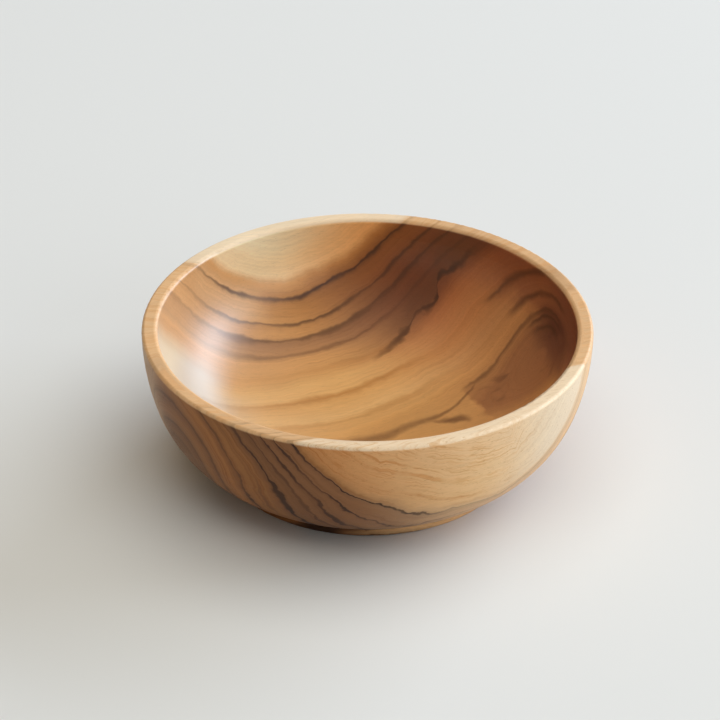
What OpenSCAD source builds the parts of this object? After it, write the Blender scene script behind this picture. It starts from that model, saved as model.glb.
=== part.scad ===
// Turned wooden bowl that stands on a low foot ring.
// The origin is the centre of the foot's resting face, +Z is up, and sizes are millimetres.

/* [Rim] */
// Outside diameter of the rim
rim_d = 150; // [130:1:180]
// Height of the rim above the surface that the bowl stands on
bowl_h = 51; // [44:0.5:62]
// Thickness of the wall at the rim
rim_wall = 5.4; // [4:0.1:8]
// Radius that eases the outer edge of the rim
rim_outer_round = 1.2; // [0.4:0.1:1.8]
// Radius that eases the inner edge of the rim
rim_inner_round = 1.6; // [0.4:0.1:2]

/* [Outside] */
// Angle through which the flat upper arc of the outside turns below the rim, in degrees
upper_turn = 17.1; // [10:0.1:22]
// Radius of the rounder belly arc, which turns in to the foot
belly_r = 40; // [32:1:48]

/* [Inside] */
// Radius of the flat upper arc of the inside, below the rim
inner_upper_r = 80; // [60:1:140]
// Radius of the arc between the inside wall and the floor
inner_belly_r = 33; // [24:1:38]
// Radius of the dished floor
floor_r = 220; // [160:5:400]
// Thickness of the floor at its centre, above the seat of the foot
floor_t = 5.5; // [4.5:0.1:9]

/* [Foot] */
// Outside diameter of the foot ring
foot_d = 101; // [80:1:112]
// Height of the foot ring below the bowl
foot_h = 4.5; // [3:0.1:8]
// Width of the foot ring from its outside to its bore
foot_w = 8; // [6.5:0.1:14]
// Width by which the belly stands out over the foot ring
overhang = 1.8; // [0.6:0.1:4]
// Radius that eases the two lower edges of the foot ring
foot_round = 0.8; // [0.3:0.1:2]

/* [Glued joint] */
// Width of the tongue on the foot ring
tongue_w = 4; // [2:0.1:5]
// Height of the tongue, which stands in a groove under the bowl
tongue_h = 2.4; // [1.5:0.1:3.2]
// Room for glue on each side of the tongue and over it
glue_gap = 0.1; // [0.05:0.05:0.3]

/* [Hidden] */
$fn = 128;

wood = [0.62, 0.42, 0.25];
wood_in_shade = [0.42, 0.27, 0.15];

// An easing disc is this much larger than its arc, so that the outlines cross and don't just touch
proud = 0.005;
// Room beyond the outlines for the shapes that only cut or fill
beyond = 5;

rim_r = rim_d / 2;
inner_r = rim_r - rim_wall;
floor_z = foot_h + floor_t;

// Outside arcs: the upper arc starts straight down at the rim, and at its end the belly arc touches it
// from inside and runs on to the heel, over the foot
wall_top = [rim_r, bowl_h - rim_outer_round];
heel = [foot_d / 2 + overhang, foot_h];
upper_way = [cos(upper_turn), -sin(upper_turn)];
upper_r = arc_to_touch(wall_top, upper_way, heel, belly_r);
upper_c = wall_top - [upper_r, 0];
belly_c = upper_c + (upper_r - belly_r) * upper_way;
upper_end = upper_c + upper_r * upper_way;

// Inside arcs: one between the wall's arc and the floor's arc, touching both from inside
inner_upper_c = [inner_r - inner_upper_r, bowl_h - rim_inner_round];
floor_c = [0, floor_z + floor_r];
inner_belly_c = crossing(floor_c, floor_r - inner_belly_r, inner_upper_c, inner_upper_r - inner_belly_r);
inner_upper_end = inner_upper_c + inner_upper_r * unit(inner_belly_c - inner_upper_c);
floor_end = floor_c + floor_r * unit(inner_belly_c - floor_c);

// The tongue stands in the middle of the foot ring's width
foot_out = foot_d / 2;
foot_in = foot_out - foot_w;
tongue_in = foot_in + (foot_w - tongue_w) / 2;

function unit(v) = v / norm(v);

// Radius of an arc that starts straight down at a point and ends on the side of its centre given by a way,
// where it touches a smaller arc of known radius that runs on through a second point
function arc_to_touch(start, way, through, small_r) =
    let (
        step = start - through - small_r * way,
        swing = way - [1, 0],
        lean = step * swing
    )
    (-lean - sqrt(lean * lean - swing * swing * (step * step - small_r * small_r))) / (swing * swing);

// Point where two circles cross, to the left of the way from the first centre to the second
function crossing(c1, r1, c2, r2) =
    let (
        way = c2 - c1,
        along = (way * way + r1 * r1 - r2 * r2) / (2 * norm(way)),
        across = sqrt(r1 * r1 - along * along)
    )
    c1 + along * unit(way) + across * unit([-way[1], way[0]]);

module disc(centre, r) {
    translate(centre) circle(r = r);
}

// Part of the profile plane between two radii and two heights
module patch(r0, r1, z0, z1) {
    translate([r0, z0]) square([r1 - r0, z1 - z0]);
}

// Profile of the bowl as a full block, from the axis to the outside
module outside_profile() {
    intersection() {
        patch(0, rim_r + beyond, foot_h, bowl_h);
        disc(upper_c, upper_r);
        union() {
            disc(belly_c, belly_r + proud);
            patch(0, heel[0], foot_h - beyond, bowl_h);
            patch(0, rim_r + beyond, upper_end[1], bowl_h + beyond);
        }
        union() {
            disc(wall_top - [rim_outer_round, 0], rim_outer_round + proud);
            patch(0, rim_r - rim_outer_round, foot_h, bowl_h + beyond);
            patch(0, rim_r + beyond, foot_h - beyond, wall_top[1]);
        }
    }
}

// Profile of the hollow, from the floor to above the rim
module hollow_profile() {
    intersection() {
        patch(0, rim_r, floor_z - beyond, bowl_h + beyond);
        disc(inner_upper_c, inner_upper_r);
        disc(floor_c, floor_r);
        union() {
            disc(inner_belly_c, inner_belly_r + proud);
            patch(0, floor_end[0], floor_z - beyond, bowl_h + beyond);
            patch(0, rim_r + beyond, inner_upper_end[1], bowl_h + 2 * beyond);
        }
    }
}

// Keeps the rim's inner edge inside its easing arc
module inner_edge_profile() {
    disc([inner_r + rim_inner_round, bowl_h - rim_inner_round], rim_inner_round + proud);
    patch(inner_r + rim_inner_round, rim_r + beyond, foot_h - beyond, bowl_h + beyond);
    patch(0, rim_r + beyond, foot_h - beyond, bowl_h - rim_inner_round);
}

// Bowl with a groove under it for the foot ring's tongue
module bowl_body() {
    color(wood)
    rotate_extrude()
    difference() {
        intersection() {
            difference() {
                outside_profile();
                hollow_profile();
            }
            inner_edge_profile();
        }
        patch(
            tongue_in - glue_gap,
            tongue_in + tongue_w + glue_gap,
            foot_h - beyond,
            foot_h + tongue_h + glue_gap
        );
    }
}

// Ring under the bowl, with eased lower edges and a tongue on top
module foot_ring() {
    color(wood_in_shade)
    rotate_extrude() {
        patch(foot_in, foot_out, foot_round, foot_h);
        patch(foot_in + foot_round, foot_out - foot_round, 0, foot_h);
        for (r = [foot_in + foot_round, foot_out - foot_round])
            disc([r, foot_round], foot_round);
        patch(tongue_in, tongue_in + tongue_w, foot_h - foot_round, foot_h + tongue_h);
    }
}

bowl_body();
foot_ring();
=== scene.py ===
"""Turned wooden bowl on a low foot ring: wood materials, floor, light and camera."""
import math
from types import SimpleNamespace

import bpy
from mathutils import Matrix, Vector


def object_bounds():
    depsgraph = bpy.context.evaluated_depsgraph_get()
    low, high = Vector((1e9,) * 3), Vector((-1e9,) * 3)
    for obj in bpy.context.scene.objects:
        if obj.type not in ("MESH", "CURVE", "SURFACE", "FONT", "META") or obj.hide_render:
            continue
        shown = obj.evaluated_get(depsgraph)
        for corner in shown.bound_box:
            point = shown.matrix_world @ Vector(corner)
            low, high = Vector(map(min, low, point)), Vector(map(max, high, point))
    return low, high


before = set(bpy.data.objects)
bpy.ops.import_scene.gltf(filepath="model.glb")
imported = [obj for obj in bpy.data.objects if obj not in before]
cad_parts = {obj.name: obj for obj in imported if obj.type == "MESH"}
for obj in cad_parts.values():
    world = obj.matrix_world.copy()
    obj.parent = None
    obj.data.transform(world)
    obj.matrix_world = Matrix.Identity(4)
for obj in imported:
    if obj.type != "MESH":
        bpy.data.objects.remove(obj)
cad_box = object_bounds()

# Camera, in metres, degrees and millimetres of lens. It looks along +Y, down at the bowl.
CAMERA_AT = (-0.002446, -0.850364, 0.571138)
CAMERA_PITCH = 32.16
CAMERA_ROLL = 0.29
CAMERA_LENS = 150.0
CAMERA_SENSOR = 36.0

# Soft lamps, in degrees, metres and watts: azimuth (0 is +X and 90 is +Y, away from the camera), elevation,
# distance, size, power and colour
LAMPS = {
    "window": (33.0, 19.0, 4.0, (4.6, 2.0), 172.0, (0.85, 1.0, 1.20)),
    "room": (-42.0, 24.0, 4.0, (3.2, 2.0), 28.0, (0.92, 1.0, 1.08)),
    "overhead": (-20.0, 78.0, 3.0, (4.0, 4.0), 70.0, (1.0, 0.97, 0.885)),
}
# The lamp that leaves no reflection
UNREFLECTED = "overhead"
FILL_COLOUR = (0.98, 0.90, 0.73)
FILL_STRENGTH = 0.19
BACKDROP = (0.76, 0.76, 0.755)

# Floor: colour, finish and width in metres
FLOOR = (0.78, 0.78, 0.775)
FLOOR_ROUGHNESS = 0.9
FLOOR_SPECULAR = 0.2
FLOOR_SIZE = 6.0

# Finish of the wood. The coat weighs little outside, more in the hollow, and most on the hollow's left.
# The relief's depth is in metres.
WOOD_ROUGHNESS = 0.36
WOOD_SPECULAR = 0.12
COAT_ROUGHNESS = 0.40
COAT_IOR = 2.2
COAT_OUTSIDE = 0.02
COAT_HOLLOW = 0.18
COAT_LEFT = 0.80
BUMP_DEPTH = 0.00004
BUMP_STRENGTH = 0.6


def srgb(r, g, b):
    """Linear colour of an 8-bit display colour."""
    def one(c):
        c /= 255
        return c / 12.92 if c <= 0.04045 else ((c + 0.055) / 1.055) ** 2.4
    return one(r), one(g), one(b)


# Wood colours: lines of the front, lines of the inside, and the brown shade beside them
LINE = srgb(50, 32, 25)
SOFT_LINE = srgb(74, 46, 31)
SHADE = srgb(98, 62, 42)
# Wood colours of the rim and of places where the log is lighter, and pale colours of painted sheen
RIM_HEART = srgb(231, 188, 142)
RIM_SAP = srgb(241, 217, 186)
# Painted sheen: the next three are pale colours put on the hollow's left end and left wall, where the
# window's reflection falls
PALE_SHEEN = srgb(204, 189, 169)
CREAM_SHEEN = srgb(230, 214, 183)
HONEY = srgb(226, 178, 124)
PALE_END = srgb(234, 214, 186)
# Painted sheen: a pale colour put on the front's left edge, where it reflects light at a glancing angle
LEFT_EDGE_SHEEN = srgb(206, 168, 128)
BACK_SAP = srgb(234, 200, 156)
# Tints, which multiply the colour below them: fine grain and golden lines, then the left end of the outside
# and painted shade high on the right end of the hollow, under the rim
HAIR = (0.62, 0.48, 0.36)
WARM = (0.84, 0.66, 0.46)
STRIPE = (0.86, 0.74, 0.60)
GOLD = (0.66, 0.52, 0.37)
LEFT_END = (0.66, 0.64, 0.60)
HIGH_WALL_SHADE = (0.62, 0.51, 0.62)
RIGHT_WALL_SHADE = (0.68, 0.64, 0.86)
BAND_SHADE = (0.64, 0.60, 0.68)

# Tones by place in the ring field, from the pith outwards, as display colours. The outside front runs from
# deep tones at the left end of the log to light ones at the right; the inside runs from light to deep.
FRONT_DEEP = (
    (0.0, (132, 90, 57)), (13.0, (134, 91, 57)), (16.0, (158, 106, 62)), (19.0, (142, 95, 57)),
    (23.0, (170, 112, 63)), (26.0, (150, 99, 57)), (29.0, (161, 107, 61)), (33.0, (133, 90, 57)),
    (39.0, (137, 93, 60)), (43.4, (145, 99, 64)), (44.2, (166, 113, 65)), (46.0, (192, 132, 79)),
    (50.0, (206, 143, 86)), (60.0, (218, 157, 99)), (72.0, (226, 166, 107)),
)
FRONT_LIGHT = (
    (0.0, (196, 148, 100)), (30.0, (204, 158, 112)), (36.0, (240, 190, 134)), (40.0, (232, 190, 142)),
    (43.4, (216, 178, 134)), (46.0, (236, 192, 138)), (52.0, (242, 200, 147)), (72.0, (242, 203, 157)),
)
BACK_LIGHT = (
    (0.0, (158, 106, 70)), (13.0, (166, 113, 73)), (17.0, (204, 149, 94)), (20.0, (227, 171, 107)),
    (26.0, (237, 188, 127)), (32.0, (229, 174, 110)), (35.0, (233, 183, 121)), (39.0, (231, 181, 119)),
    (43.0, (220, 166, 107)), (51.0, (216, 162, 107)), (53.0, (187, 138, 94)), (58.5, (184, 135, 93)),
    (61.0, (211, 155, 96)), (74.0, (199, 141, 76)), (76.0, (200, 142, 78)), (80.5, (226, 172, 110)),
    (84.0, (254, 226, 178)), (90.0, (254, 230, 184)), (96.0, (255, 243, 204)), (110.0, (255, 245, 208)),
)
BACK_DEEP = (
    (0.0, (172, 113, 73)), (13.0, (170, 112, 72)), (17.0, (182, 121, 75)), (21.0, (198, 131, 79)),
    (26.0, (186, 117, 69)), (34.0, (192, 119, 71)), (41.0, (180, 108, 64)), (46.0, (132, 77, 49)),
    (55.0, (123, 69, 43)), (60.0, (122, 69, 42)), (64.0, (130, 75, 45)), (70.0, (145, 86, 46)),
    (75.0, (134, 80, 43)), (79.5, (182, 121, 66)), (83.5, (242, 180, 114)), (110.0, (254, 202, 138)),
)
# Highest place that the tones and the streak below can have
RING_SPAN = 110.0

# Dark growth lines of the front, by the ring field there: place, width towards the pith, width outwards,
# darkness, and width and darkness of the brown shade on the pith side
FRONT_LINES = (
    (8.0, 0.9, 0.7, 0.48, 2.0, 0.20),
    (13.0, 0.9, 0.7, 0.68, 2.5, 0.25),
    (19.2, 1.0, 0.8, 0.80, 3.0, 0.30),
    (25.8, 0.7, 0.5, 0.80, 2.5, 0.30),
    (29.2, 0.5, 0.4, 0.35, 1.5, 0.15),
    (32.6, 1.0, 0.7, 0.94, 2.5, 0.35),
    (35.6, 0.7, 0.6, 0.40, 1.8, 0.25),
    (38.2, 0.7, 0.5, 0.75, 1.8, 0.30),
    (40.6, 0.5, 0.35, 0.85, 1.2, 0.25),
    (43.5, 0.6, 0.4, 0.94, 1.5, 0.30),
)
# Dark growth lines of the back and the inside, likewise
BACK_LINES = (
    (53.2, 1.5, 1.3, 0.30, 1.5, 0.12),
    (59.6, 1.9, 1.1, 0.55, 5.0, 0.30),
    (65.4, 1.3, 0.9, 0.66, 2.5, 0.25),
    (75.1, 1.7, 1.0, 0.88, 3.0, 0.35),
)
# Faint golden lines of the inside, likewise
GOLD_LINES = (
    (24.0, 1.9, 1.5, 0.50, 3.0, 0.25),
    (33.4, 1.8, 1.6, 0.70, 3.0, 0.30),
    (44.4, 1.6, 1.6, 0.30, 3.0, 0.15),
)
# Dark arches round the pith on the right inside wall, likewise
ARCH_LINES = (
    (12.0, 2.2, 1.6, 0.55, 3.0, 0.30),
    (15.3, 1.2, 1.1, 0.55, 2.0, 0.30),
    (17.5, 1.4, 1.1, 0.44, 2.5, 0.30),
    (23.4, 2.2, 1.9, 0.58, 3.0, 0.30),
    (31.8, 1.8, 1.8, 0.50, 4.0, 0.35),
)
# How much of each half of a line is fully dark: some on the front, hardly any inside
CRISP_FRONT = 0.35
CRISP_BACK = 0.05
CRISP_SOFT = 0.0
# Darkness at which every line stops, so that some of the wood still shows through
DARKEST = 0.95
# Crooked dark streak inside: place along the log in mm, and place in the ring field
STREAK = (
    (14.0, 42.0), (18.0, 42.2), (24.6, 43.0), (30.3, 44.2), (33.0, 45.5), (35.8, 46.7), (38.0, 46.0),
    (41.0, 44.5), (43.0, 44.2), (44.4, 45.6), (45.4, 48.3), (46.8, 48.5), (49.0, 47.0), (52.0, 46.7),
    (57.0, 46.4),
)

# Millimetres in a metre
MM = 1000.0
# The pith that the rings lie round: its turn from +X in degrees, its place across the log and its height in
# mm, how far it leans across and rises on its way along the log, and how much the rings are squashed upwards
FRONT_PITH = {
    "turn": 17.99, "across": 24.81, "height": 21.29, "lean": 0.105, "rise": -0.029, "squash": 0.923,
}
BACK_PITH = {
    "turn": 20.2, "across": 8.71, "height": 26.32, "lean": -0.106, "rise": -0.009, "squash": 1.221,
}
# How the rings bend: share of the distance from the pith that each product of a, b and c adds, where a is
# the place along the log, b above the pith and c across it, in these units of mm
BEND_UNITS = {"a": 50.0, "b": 25.0, "c": 50.0}
FRONT_BEND = {"a": 0.277, "aa": 0.299, "b": -0.262, "ab": 0.169, "bb": 0.117, "bc": 0.255}
BACK_BEND = {"a": -0.038, "aa": 0.079, "b": 0.002, "c": -0.026, "ac": -0.018, "bc": -0.114, "aac": 0.222}
# Flat rings at the front's right end: how much their place rises per mm of x, y and z, and where it starts.
# Between two places along the log, in mm, it is lifted, so that the rings round the pith take over.
FLAT_SLOPE = (0.410, -0.842, 0.351)
FLAT_START = 23.7
FLAT_FADE = (30.0, 10.0)
FLAT_LIFT = 40.0
# The grain wanders a little everywhere: scale of the noise, per metre, and its reach in mm
WANDER = ((28.0, 5.0), (160.0, 1.5), (480.0, 0.7))
# Circle round which the wall's section bends, in mm. The wall's middle lies about 36 mm from it.
WALL_R = 35.0
WALL_Z = 43.0
# Where the masks of the outside, the inside and the rim start and are full, in mm from that circle
OUTSIDE_AT = (35.5, 38.0)
INSIDE_AT = (36.0, 35.0)
RIM_AT = (33.0, 34.0)
# Height of the rim in mm, and where its mask starts and is full below that
RIM_Z = cad_box[1][2] * MM
RIM_BELOW = (1.3, 0.6)
# Each wood's front turns from deep to light tones between two places along the log, in mm
BOWL_TURN = (-45.0, 20.0)
FOOT_TURN = (-42.0, -14.0)


class Num:
    """A number in a shader, which takes part in formulas."""

    def __init__(self, tree, socket):
        self.tree, self.socket = tree, socket

    def op(self, kind, *others):
        n = self.tree.nodes.new("ShaderNodeMath")
        n.operation = kind
        for i, v in enumerate((self,) + others):
            put(self.tree, v, n.inputs[i])
        return Num(self.tree, n.outputs[0])

    def __add__(self, o):
        return self.op("ADD", o)

    def __sub__(self, o):
        return self.op("SUBTRACT", o)

    def __mul__(self, o):
        return self.op("MULTIPLY", o)

    def __truediv__(self, o):
        return self.op("DIVIDE", o)

    __radd__, __rmul__ = __add__, __mul__

    def __rsub__(self, o):
        return self * -1.0 + o

    def most(self, o):
        """The larger of two numbers."""
        return self.op("MAXIMUM", o)

    def least(self, o):
        """The smaller of two numbers."""
        return self.op("MINIMUM", o)

    def step(self, start, full):
        """0 on the far side of start, 1 on the far side of full, and smooth between them."""
        n = self.tree.nodes.new("ShaderNodeMapRange")
        n.interpolation_type = "SMOOTHSTEP"
        put(self.tree, self, n.inputs["Value"])
        n.inputs["From Min"].default_value = start
        n.inputs["From Max"].default_value = full
        return Num(self.tree, n.outputs[0])

    def band(self, start, full, fall, end):
        """0 below start and above end, 1 from full to fall, and smooth between them."""
        return self.step(start, full) * self.step(end, fall)

    def ridge(self):
        """1 in the middle and 0 beyond -1 and 1."""
        return self.band(-1.0, -0.1, 0.1, 1.0)

    def mix(self, a, b):
        """a where this is 0, b where it is 1."""
        return self * (b - a) + a


def put(tree, value, socket):
    """Sets a socket to a constant, or links it to a value in the shader."""
    if isinstance(value, Num):
        tree.links.new(value.socket, socket)
    else:
        socket.default_value = value


def vector(tree, x, y, z):
    n = tree.nodes.new("ShaderNodeCombineXYZ")
    for v, s in zip((x, y, z), n.inputs):
        put(tree, v, s)
    return n.outputs[0]


def parts(tree, socket):
    """The three numbers of a vector or colour."""
    n = tree.nodes.new("ShaderNodeSeparateXYZ")
    tree.links.new(socket, n.inputs[0])
    return [Num(tree, s) for s in n.outputs]


def noise_node(tree, at, scale, detail, roughness):
    n = tree.nodes.new("ShaderNodeTexNoise")
    tree.links.new(at, n.inputs["Vector"])
    n.inputs["Scale"].default_value = scale
    n.inputs["Detail"].default_value = detail
    n.inputs["Roughness"].default_value = roughness
    return n


def noise(tree, at, scale=1.0, detail=2.0, roughness=0.5):
    """Noise of about 0 to 1 at a point."""
    return Num(tree, noise_node(tree, at, scale, detail, roughness).outputs["Fac"])


def wander(tree, at, scale, reach):
    """Shift of the grain along three axes, in mm."""
    three = parts(tree, noise_node(tree, at, scale, 1.0, 0.5).outputs["Color"])
    return [(n - 0.5) * reach for n in three]


def ramp(tree, place, stops):
    """Colour by place in a ring field, straight between the stops."""
    n = tree.nodes.new("ShaderNodeValToRGB")
    put(tree, place / RING_SPAN, n.inputs["Fac"])
    e = n.color_ramp.elements
    while len(e) < len(stops):
        e.new(0.5)
    for el, (stop, colour) in zip(e, stops):
        el.position = stop / RING_SPAN
        el.color = (*srgb(*colour), 1.0)
    return n.outputs["Color"]


def curve(tree, value, points):
    """Smooth curve through points."""
    n = tree.nodes.new("ShaderNodeFloatCurve")
    x0, x1 = points[0][0], points[-1][0]
    put(tree, (value - x0) / (x1 - x0), n.inputs["Value"])
    dots = n.mapping.curves[0].points
    while len(dots) < len(points):
        dots.new(0.5, 0.5)
    for d, (x, y) in zip(dots, points):
        d.location = ((x - x0) / (x1 - x0), y / RING_SPAN)
    n.mapping.update()
    return Num(tree, n.outputs[0]) * RING_SPAN


def mix_colour(tree, factor, a, b, kind="MIX"):
    n = tree.nodes.new("ShaderNodeMix")
    n.data_type, n.blend_type = "RGBA", kind
    put(tree, factor, n.inputs[0])
    # The node's colour sockets are inputs 6 and 7 and output 2
    for v, s in ((a, n.inputs[6]), (b, n.inputs[7])):
        if isinstance(v, tuple):
            s.default_value = (*v, 1.0)
        else:
            tree.links.new(v, s)
    return n.outputs[2]


def tint(tree, factor, colour, by):
    return mix_colour(tree, factor, colour, by, "MULTIPLY")


def grow_lines(place, lines, swell, crisp):
    """Darkness of the lines and of the shades on their pith side, at a place in the ring field."""
    core = shade = None
    for at, inner, outer, dark, wide, soft in lines:
        t = place - at
        thin = t / swell
        c = thin.band(-inner, -crisp * inner, crisp * outer, outer) * dark
        s = t.band(-wide, 0.0, 0.0, outer) * soft
        core = core.most(c) if core else c
        shade = shade.most(s) if shade else s
    return core, shade


def ring_field(x, y, z, pith, bend):
    """Distance from the pith, bent as the grain is, and the place across (u) and along (v) the log."""
    t = math.radians(pith["turn"])
    u = x * math.sin(t) - y * math.cos(t)
    v = x * math.cos(t) + y * math.sin(t)
    across = u - pith["across"] - v * pith["lean"]
    above = z - pith["height"] - v * pith["rise"]
    away = (across * across + above * above * pith["squash"]).op("SQRT")
    place = {"a": v, "b": above, "c": across}
    share = 1.0
    for product, factor in bend.items():
        for letter in product:
            factor = place[letter] / BEND_UNITS[letter] * factor
        share = factor + share
    return away * share, u, v


def front_field(x, y, z):
    """Ring field of the front, whose rings run out flat at the right end."""
    rings, _, v = ring_field(x, y, z, FRONT_PITH, FRONT_BEND)
    flat = sum(c * slope for c, slope in zip((x, y, z), FLAT_SLOPE)) - FLAT_START
    return rings.least(flat + v.step(*FLAT_FADE) * FLAT_LIFT)


def point_in_log(tree):
    """The shaded point: its place in mm, across (u) and along (v) the log, and in both ring fields.

    Across, the photographed side is positive; along, the left end is negative.
    """
    at = tree.nodes.new("ShaderNodeTexCoord").outputs["Object"]
    place = [c * MM for c in parts(tree, at)]
    shifts = [wander(tree, at, scale, reach) for scale, reach in WANDER]
    moved = [sum(axis) for axis in zip(place, *shifts)]
    x, y, z = place
    front = front_field(*moved)
    back, u, v = ring_field(*moved, BACK_PITH, BACK_BEND)
    return SimpleNamespace(tree=tree, at=at, x=x, y=y, z=z, u=u, v=v, front=front, back=back)


def add_regions(p):
    """Adds masks of the bowl's parts, in which the figure differs. Places are in mm."""
    r = (p.x * p.x + p.y * p.y).op("SQRT")
    over = (r - WALL_R).most(0.0)
    up = p.z - WALL_Z
    reach = (over * over + up * up).op("SQRT")
    p.outside = reach.step(*OUTSIDE_AT)
    p.inside = reach.step(*INSIDE_AT)
    p.on_rim = (RIM_Z - p.z).step(*RIM_BELOW) * reach.step(*RIM_AT)
    p.off_rim = 1.0 - p.on_rim
    p.hollow = p.inside * p.off_rim
    p.left_wall = p.hollow * p.v.step(-22.0, -44.0)
    # The front field holds outside, in front of the pith
    ahead = (p.u + p.v * 0.08 - 12.0 + p.v.step(-30.0, -55.0) * 24.0).step(-4.0, 8.0)
    p.in_front = p.outside * ahead
    p.behind = p.outside * (1.0 - ahead)
    p.left_end = p.behind * p.v.step(-34.0, -56.0)
    # Sapwood, whose edge is sharper on the rim, and its cap on the front
    p.rim_sap = ahead.mix(p.back.step(74.5, 79.0), p.front.step(43.6, 44.8))
    p.sap = p.in_front.mix(p.back.step(76.0, 84.0), p.front.step(43.2, 47.0))
    p.cap = p.sap * p.in_front


def log_noise(p, along, through, detail=2.0, roughness=0.5, shift=0.0):
    """Noise drawn out along the log, by its scales per mm along and through the log."""
    at = vector(p.tree, p.v * along, p.u * through, p.z * through + shift)
    return noise(p.tree, at, 1.0, detail, roughness)


def ring_noise(p, along, through, roughness, shift=0.0):
    """Noise in layers that follow the rings, by its scales per mm along and through them."""
    rings = p.in_front.mix(p.back, p.front)
    at = vector(p.tree, rings * through, p.v * along, p.u * along + shift)
    return noise(p.tree, at, 1.0, 3.0, roughness)


def add_grain(p):
    """Adds noises: swelling and fading of lines, blobs, fine layers along the rings, fibres and pores."""
    p.swell = log_noise(p, 0.10, 0.07).step(0.3, 0.75) * 1.1 + 0.45
    p.fade = log_noise(p, 0.05, 0.04, shift=7.0).step(0.25, 0.55) * 0.5 + 0.5
    p.blob = noise(p.tree, p.at, 150.0)
    p.patch = noise(p.tree, p.at, 34.0)
    p.layer = ring_noise(p, 0.02, 0.9, 0.6)
    p.thin = ring_noise(p, 0.022, 1.5, 0.65, shift=3.0)
    p.fibre = log_noise(p, 0.10, 1.4, detail=3.0, roughness=0.6)
    p.pores = log_noise(p, 0.35, 3.2, detail=1.0).step(0.62, 0.74)


# The figure. A step or band in u, v or z is in mm, and one in front or back is by place in that ring field.


def back_tone(p):
    """Broad tone of the back and the inside, with painted sheen on the left wall."""
    tree, v, back = p.tree, p.v, p.back
    # The floor of the hollow is as light by the pith as round it
    ring = back.most((v + (p.blob - 0.5) * 10.0).step(46.0, 37.0) * 19.0)
    deep = (v + back.least(75.0) * 0.6 - 33.0).step(-10.0, 40.0) * (back.step(22.0, 50.0) * 0.3 + 0.7)
    tone = mix_colour(tree, deep, ramp(tree, ring, BACK_LIGHT), ramp(tree, ring, BACK_DEEP))
    # The left wall is lighter, most so high up: painted sheen where the window's light reflects
    left = p.left_wall * back.band(48.0, 53.0, 66.0, 73.0) * 0.55
    tone = mix_colour(tree, left, tone, HONEY)
    # Painted sheen: a honey-coloured patch on the left wall, where the window reflects
    painted_sheen = p.hollow * v.band(-50.0, -40.0, -25.0, -12.0) * back.band(63.0, 69.0, 76.0, 81.0)
    return mix_colour(tree, painted_sheen * 0.9, tone, HONEY)


def broad_tone(p, turn):
    """Tone of the whole wood, without lines. The front turns from deep to light between two places."""
    tree, front = p.tree, p.front
    light = (p.v - front.step(44.0, 42.0) * 12.0).step(*turn)
    front_tone = mix_colour(tree, light, ramp(tree, front, FRONT_DEEP), ramp(tree, front, FRONT_LIGHT))
    tone = mix_colour(tree, p.in_front, back_tone(p), front_tone)
    tone = mix_colour(tree, p.on_rim * 0.92, tone, mix_colour(tree, p.rim_sap, RIM_HEART, RIM_SAP))
    return mix_colour(tree, p.cap * p.v.step(10.0, 44.0) * p.off_rim * 0.85, tone, PALE_END)


def front_lines(p):
    """Darkness of the front's lines and shades, which fade towards the right and the back."""
    u, v = p.u, p.v
    swell = v.step(-32.0, -4.0).mix(p.swell * 0.72, 0.5)
    core, shade = grow_lines(p.front, FRONT_LINES, swell, CRISP_FRONT)
    faint = v.step(14.0, -18.0) * 0.75 + v.step(40.0, 20.0) * 0.17 + 0.08
    faint = faint * (u.step(2.0, 14.0) * 0.8 + 0.2)
    return core * faint * (1.0 - v.step(-52.0, -62.0) * 0.6), shade * faint * 1.25


def line_room(p):
    """1 where the lines of the back and inside are full, less where the wood is quiet."""
    quiet = p.back.band(20.0, 23.0, 46.0, 50.0) * p.v.step(16.0, 36.0)
    return (1.0 - quiet * 0.75) * (1.0 - p.left_end * 0.8)


def back_lines(p):
    """Darkness of the lines and shades of the back and the inside."""
    core, shade = grow_lines(p.back, BACK_LINES, p.swell, CRISP_BACK)
    room = line_room(p)
    return core * room * (1.0 - p.left_wall * 0.60), shade * room * (1.0 - p.left_wall * 0.75)


def gold_lines(p):
    """Strength of the golden lines."""
    core, shade = grow_lines(p.back, GOLD_LINES, p.swell, CRISP_SOFT)
    return core.most(shade) * line_room(p) * (1.0 - p.left_wall * 0.5) * (1.0 - p.in_front) * p.off_rim


def crooked_streak(p):
    """Darkness of the crooked streak inside, and of the brown smear on its outer side."""
    u, v = p.u, p.v
    off = p.back + (noise(p.tree, p.at, 110.0) - 0.5) * 3.0 - curve(p.tree, v, STREAK)
    along = v.band(14.0, 20.0, 50.0, 58.0) * u.step(-2.0, -16.0)
    side = off / (p.blob.step(0.38, 0.68) * 2.8 + 0.5)
    streak = side.band(-1.0, 0.0, 0.1, 1.0) * along * (v.step(18.0, 34.0) * 0.40 + 0.45)
    smear = off.band(-0.8, 0.8, 3.0, 14.0) * along * v.step(20.0, 38.0) * 0.52
    return streak, smear


def arches(p):
    """Darkness of the arches: the middle one comes up from the floor, the others show only high up."""
    back, v = p.back, p.v
    core, shade = grow_lines(back, ARCH_LINES, p.swell, CRISP_SOFT)
    high = p.z.step(27.0, 33.0) * v.step(50.0, 58.0)
    middle = back.band(15.9, 16.6, 18.8, 19.6) * v.step(35.0, 42.0)
    shown = middle.mix(high, 1.0) * (1.0 - p.u.step(0.0, 8.0))
    return core * shown, shade * shown


def knots(p):
    """Darkness of small brown flecks under the arches."""
    fleck = noise(p.tree, vector(p.tree, p.u * 0.16, p.z * 0.10, p.v * 0.10)).step(0.60, 0.72)
    return fleck * p.back.step(17.0, 12.0) * p.v.step(38.0, 48.0) * 0.45


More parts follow.
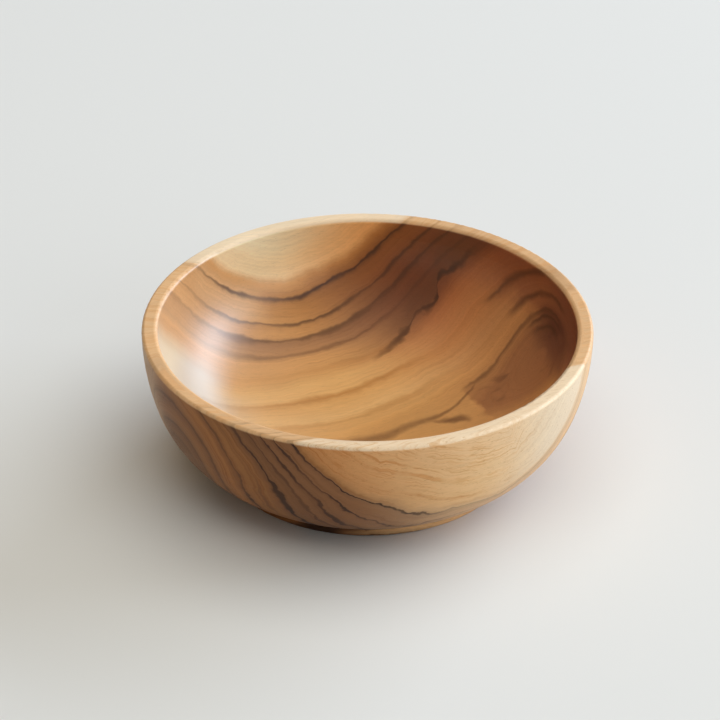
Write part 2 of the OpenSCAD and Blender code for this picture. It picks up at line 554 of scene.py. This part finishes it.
def floor_band(p):
    """Darkness of the band that runs along the floor and bends up into the middle arch, and its branch."""
    u, v = p.u, p.v
    near = v.step(16.0, 2.0)
    bent = (v - 16.0).most(0.0)
    side = (u - 5.5 - near * 3.0 + bent * bent * 0.0175) / (v.step(32.0, 14.0) * 2.0 + near * 1.6 + 1.2)
    band = side.ridge() * v.band(-22.0, -4.0, 39.0, 45.0) * 0.60
    side = (u - 1.8 - v * 0.28 + (p.blob - 0.5) * 5.0) / (v.step(17.0, 27.0) * 2.2 + 1.0)
    branch = side.ridge() * v.band(14.0, 20.0, 31.0, 35.0) * (v.step(20.0, 27.0) * 0.35 + 0.35)
    return band.most(branch) * p.z.step(20.0, 16.0) * p.hollow


def foot_streak(p):
    """Darkness of the streak that crosses the foot."""
    across = p.v.band(-38.0, -33.0, -29.0, -24.0)
    return across * p.u.step(30.0, 34.0) * p.z.step(6.0, 3.5) * 0.85


def dark_figure(p):
    """Darkness of all lines, and of all brown shades."""
    front_core, front_shade = front_lines(p)
    back_core, back_shade = back_lines(p)
    streak, smear = crooked_streak(p)
    arch_core, arch_shade = arches(p)
    back_core = back_core.most(streak).most(arch_core)
    back_shade = back_shade.most(smear).most(floor_band(p)).most(knots(p)).most(arch_shade)
    core = (p.in_front.mix(back_core, front_core) * p.fade).most(foot_streak(p))
    shade = p.in_front.mix(back_shade, front_shade)
    rim_fade = p.on_rim * -0.75 + 1.0
    return core * rim_fade, shade * rim_fade


def layers(p, colour):
    """The colour with lighter and darker layers, patches, fibres and pores."""
    streaky = (p.layer - 0.5) * (p.in_front * 0.22 + 0.26) + (p.patch - 0.5) * 0.22
    light = streaky * (1.0 - p.cap * 0.75) + (p.fibre - 0.5) * 0.20 - p.pores * 0.12 + 1.0
    return tint(p.tree, 1.0, colour, vector(p.tree, light, light, light))


def hairs(p, colour):
    """The colour with hairs along the rings, warm streaks and pores in the sapwood, and a striped rim."""
    hair = p.thin.step(0.46, 0.72) * p.sap.mix(p.in_front * 0.38 + 0.20, 0.10) * (1.0 - p.on_rim * 0.7)
    warm = p.thin.step(0.46, 0.64) * p.cap * (p.v.step(40.0, 4.0) * 0.55 + 0.20) * p.blob.step(0.30, 0.62)
    stripe = p.layer.step(0.46, 0.62) * p.on_rim * (0.6 - p.rim_sap * 0.45)
    for factor, by in ((hair, HAIR), (warm, WARM), (p.pores * p.cap * 0.5, WARM), (stripe, STRIPE)):
        colour = tint(p.tree, factor, colour, by)
    return colour


def outside_ends_and_edge_sheen(p, colour):
    """The colour with the greyed left end, painted sheen on the left edge of the front, and the sapwood at
    the back.
    """
    colour = tint(p.tree, p.left_end * p.off_rim, colour, LEFT_END)
    # Painted sheen on the front's left edge
    edge = p.in_front * p.u.step(12.0, -4.0) * p.v.step(-48.0, -60.0) * 0.65
    colour = mix_colour(p.tree, edge, colour, LEFT_EDGE_SHEEN)
    rear = p.behind * p.off_rim * p.back.step(79.0, 85.0) * 0.8
    return mix_colour(p.tree, rear, colour, BACK_SAP)


def hollow_sheen_and_shade(p, colour):
    """The colour with painted sheen on the hollow's left end and painted shade high on its right end."""
    tree, u, v, z, back = p.tree, p.u, p.v, p.z, p.back
    # Painted sheen: the hollow's left end paled towards grey-cream low down, and towards cream higher up
    lower_sheen = (v - back * 0.3).step(-38.0, -56.0) * back.step(41.0, 34.0) * p.hollow * 0.4
    colour = mix_colour(tree, lower_sheen, colour, PALE_SHEEN)
    sheen_patch = (v - back * 0.5).step(-57.0, -71.0) * back.step(50.0, 42.0) * p.hollow * 0.9
    colour = mix_colour(tree, sheen_patch, colour, mix_colour(tree, z.step(24.0, 34.0), PALE_SHEEN, CREAM_SHEEN))
    # Painted shade: the hollow's right end darkened high on the wall under the rim, and in a band below
    end = (z + (p.blob - 0.5) * 12.0).step(29.0, 40.0) * v.step(50.0, 66.0)
    shaded_wall = u.step(-14.0, 6.0) * v.step(50.0, 62.0) * z.step(22.0, 36.0)
    shaded_band = v.step(54.0, 62.0) * u.step(-16.0, -4.0) * z.band(25.0, 31.0, 37.0, 43.0)
    shaded_band = shaded_band * back.band(2.5, 5.5, 19.0, 26.0)
    for factor, by in ((end, HIGH_WALL_SHADE), (shaded_wall, RIGHT_WALL_SHADE), (shaded_band, BAND_SHADE)):
        colour = tint(tree, factor * p.hollow, colour, by)
    return colour


def wood_finish(p, shader, core):
    """Satin finish: fibres and pores in the roughness and relief, and a coat polished in the hollow."""
    tree = p.tree
    roughness = WOOD_ROUGHNESS + (p.fibre - 0.5) * 0.20 + p.pores * 0.10 + core * 0.05
    put(tree, roughness, shader.inputs["Roughness"])
    bump = tree.nodes.new("ShaderNodeBump")
    bump.inputs["Distance"].default_value = BUMP_DEPTH
    bump.inputs["Strength"].default_value = BUMP_STRENGTH
    put(tree, p.fibre * 0.6 - p.pores * 0.8 - core * 0.2, bump.inputs["Height"])
    tree.links.new(bump.outputs[0], shader.inputs["Normal"])
    shader.inputs["Specular IOR Level"].default_value = WOOD_SPECULAR
    coat = p.inside * (p.v.step(0.0, -34.0) * COAT_LEFT + COAT_HOLLOW) + COAT_OUTSIDE
    put(tree, coat, shader.inputs["Coat Weight"])
    shader.inputs["Coat Roughness"].default_value = COAT_ROUGHNESS
    shader.inputs["Coat IOR"].default_value = COAT_IOR


def wood(name, turn):
    """Wood cut from one log, coloured by its growth rings through object space."""
    m = bpy.data.materials.new(name)
    m.use_nodes = True
    tree = m.node_tree
    shader = tree.nodes["Principled BSDF"]
    p = point_in_log(tree)
    add_regions(p)
    add_grain(p)
    core, shade = dark_figure(p)
    colour = layers(p, broad_tone(p, turn))
    colour = outside_ends_and_edge_sheen(p, colour)
    colour = hairs(p, colour)
    colour = hollow_sheen_and_shade(p, colour)
    colour = tint(tree, gold_lines(p), colour, GOLD)
    colour = mix_colour(tree, shade * (p.layer * 1.2 + 0.4), colour, SHADE)
    line = mix_colour(tree, p.in_front, SOFT_LINE, LINE)
    colour = mix_colour(tree, core.least(DARKEST), colour, line)
    tree.links.new(colour, shader.inputs["Base Color"])
    wood_finish(p, shader, core)
    return m


def floor_paper():
    m = bpy.data.materials.new("floor_paper")
    m.use_nodes = True
    s = m.node_tree.nodes["Principled BSDF"]
    s.inputs["Base Color"].default_value = (*FLOOR, 1.0)
    s.inputs["Roughness"].default_value = FLOOR_ROUGHNESS
    s.inputs["Specular IOR Level"].default_value = FLOOR_SPECULAR
    return m


def dress(node, material):
    """Gives a CAD node its material."""
    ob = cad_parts[node]
    ob.data.materials.clear()
    ob.data.materials.append(material)


def make_floor():
    mesh = bpy.data.meshes.new("floor")
    h = FLOOR_SIZE / 2
    mesh.from_pydata([(-h, -h, 0), (h, -h, 0), (h, h, 0), (-h, h, 0)], [], [(0, 1, 2, 3)])
    mesh.materials.append(floor_paper())
    ob = bpy.data.objects.new("floor", mesh)
    bpy.context.scene.collection.objects.link(ob)


def make_lamp(name, azimuth, elevation, distance, size, power, colour):
    lamp = bpy.data.lights.new(name, "AREA")
    lamp.shape = "RECTANGLE"
    lamp.size, lamp.size_y = size
    lamp.energy = power
    lamp.color = colour
    ob = bpy.data.objects.new(name, lamp)
    a, e = math.radians(azimuth), math.radians(elevation)
    way = Vector((math.cos(a) * math.cos(e), math.sin(a) * math.cos(e), math.sin(e)))
    ob.location = way * distance
    ob.rotation_euler = way.to_track_quat("Z", "Y").to_euler()
    ob.visible_glossy = name != UNREFLECTED
    bpy.context.scene.collection.objects.link(ob)


def make_world():
    """Warm fill light. In its place the camera sees a plain backdrop."""
    world = bpy.data.worlds.new("studio")
    bpy.context.scene.world = world
    world.use_nodes = True
    tree = world.node_tree
    fill = tree.nodes["Background"]
    fill.inputs["Color"].default_value = (*FILL_COLOUR, 1.0)
    fill.inputs["Strength"].default_value = FILL_STRENGTH
    seen = tree.nodes.new("ShaderNodeBackground")
    seen.inputs["Color"].default_value = (*BACKDROP, 1.0)
    path = tree.nodes.new("ShaderNodeLightPath")
    pick = tree.nodes.new("ShaderNodeMixShader")
    tree.links.new(path.outputs["Is Camera Ray"], pick.inputs[0])
    tree.links.new(fill.outputs[0], pick.inputs[1])
    tree.links.new(seen.outputs[0], pick.inputs[2])
    tree.links.new(pick.outputs[0], tree.nodes["World Output"].inputs["Surface"])


def make_camera():
    cam = bpy.data.cameras.new("camera")
    cam.lens = CAMERA_LENS
    cam.sensor_width = CAMERA_SENSOR
    p, r = math.radians(CAMERA_PITCH), math.radians(CAMERA_ROLL)
    ahead = Vector((0, math.cos(p), -math.sin(p)))
    flat_up = Vector((1, 0, 0)).cross(ahead)
    right = Vector((1, 0, 0)) * math.cos(r) + flat_up * math.sin(r)
    up = right.cross(ahead)
    ob = bpy.data.objects.new("camera", cam)
    turn = Matrix((right, up, -ahead)).transposed().to_4x4()
    ob.matrix_world = Matrix.Translation(CAMERA_AT) @ turn
    bpy.context.scene.collection.objects.link(ob)
    bpy.context.scene.camera = ob


make_camera()
make_floor()
for lamp_name, lamp in LAMPS.items():
    make_lamp(lamp_name, *lamp)
make_world()
dress("bowl_body", wood("bowl_wood", BOWL_TURN))
dress("foot_ring", wood("foot_wood", FOOT_TURN))
bpy.context.scene.view_settings.view_transform = "Standard"
